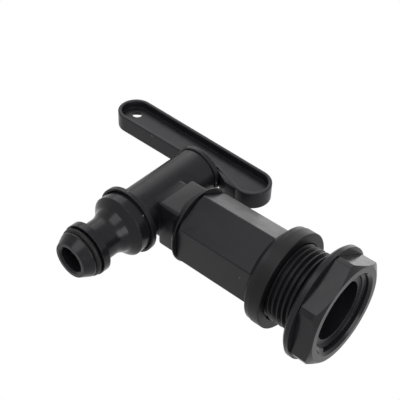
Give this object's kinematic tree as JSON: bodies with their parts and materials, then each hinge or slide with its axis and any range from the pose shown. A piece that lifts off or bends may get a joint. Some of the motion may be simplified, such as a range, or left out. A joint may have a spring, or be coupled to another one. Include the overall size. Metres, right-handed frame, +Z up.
{
  "type": "ibc tank valve",
  "caption": "Black plastic lever tap for a liquid container, with a threaded inlet tail, backnut and hose-connector outlet.",
  "frame": {"origin": "on the axis of the inlet, in the plane of the sealing washer's outer face, where the container's wall sits", "axes": "+Y along the inlet into the container, +Z up along the barrel to the lever, +X to the side"},
  "size_m": [0.0384, 0.1195, 0.0742],
  "materials": {
    "body_plastic": "fine satin",
    "tail_plastic": "fine satin",
    "nut_plastic": "satin gloss",
    "lever_plastic": "fine satin",
    "nipple_plastic": "satin gloss",
    "plug_plastic": "satin",
    "washer_plastic": "satin",
    "seal_rubber": "matt",
    "screw_steel": "bright"
  },
  "bodies": {
    "tap": {"tap_body": "body_plastic", "inlet_port_seal": "seal_rubber", "inlet_tail": "tail_plastic", "flange_washer": "seal_rubber", "outlet_nipple": "nipple_plastic", "outlet_joint_ring": "seal_rubber", "nose_ring": "seal_rubber", "thrust_washer": "plug_plastic"},
    "handle": {"lever": "lever_plastic", "rotary_plug": "plug_plastic", "plug_upper_ring": "seal_rubber", "plug_lower_ring": "seal_rubber", "spindle_screw": "screw_steel"},
    "slip_washer": {"slip_washer": "washer_plastic"},
    "backnut": {"backnut": "nut_plastic"}
  },
  "joints": [
    {"name": "lever_turn", "type": "hinge", "parent": "tap", "child": "handle", "pos_m": [0, -0.056, 0.02], "axis": [0, 0, 1], "range_deg": [0, 90]},
    {"name": "nut_travel", "type": "slide", "parent": "tap", "child": "slip_washer", "axis": [0, 1, 0], "range_m": [-0.0106, 0.008]},
    {"name": "nut_turn", "type": "hinge", "parent": "slip_washer", "child": "backnut", "pos_m": [0, 0.016, 0], "axis": [0, 1, 0], "range_deg": [-2103.64, 1587.65]}
  ],
  "couplings": [
    {"joint": "nut_travel", "follows": "nut_turn", "m_per_rad": 0.00028871}
  ]
}
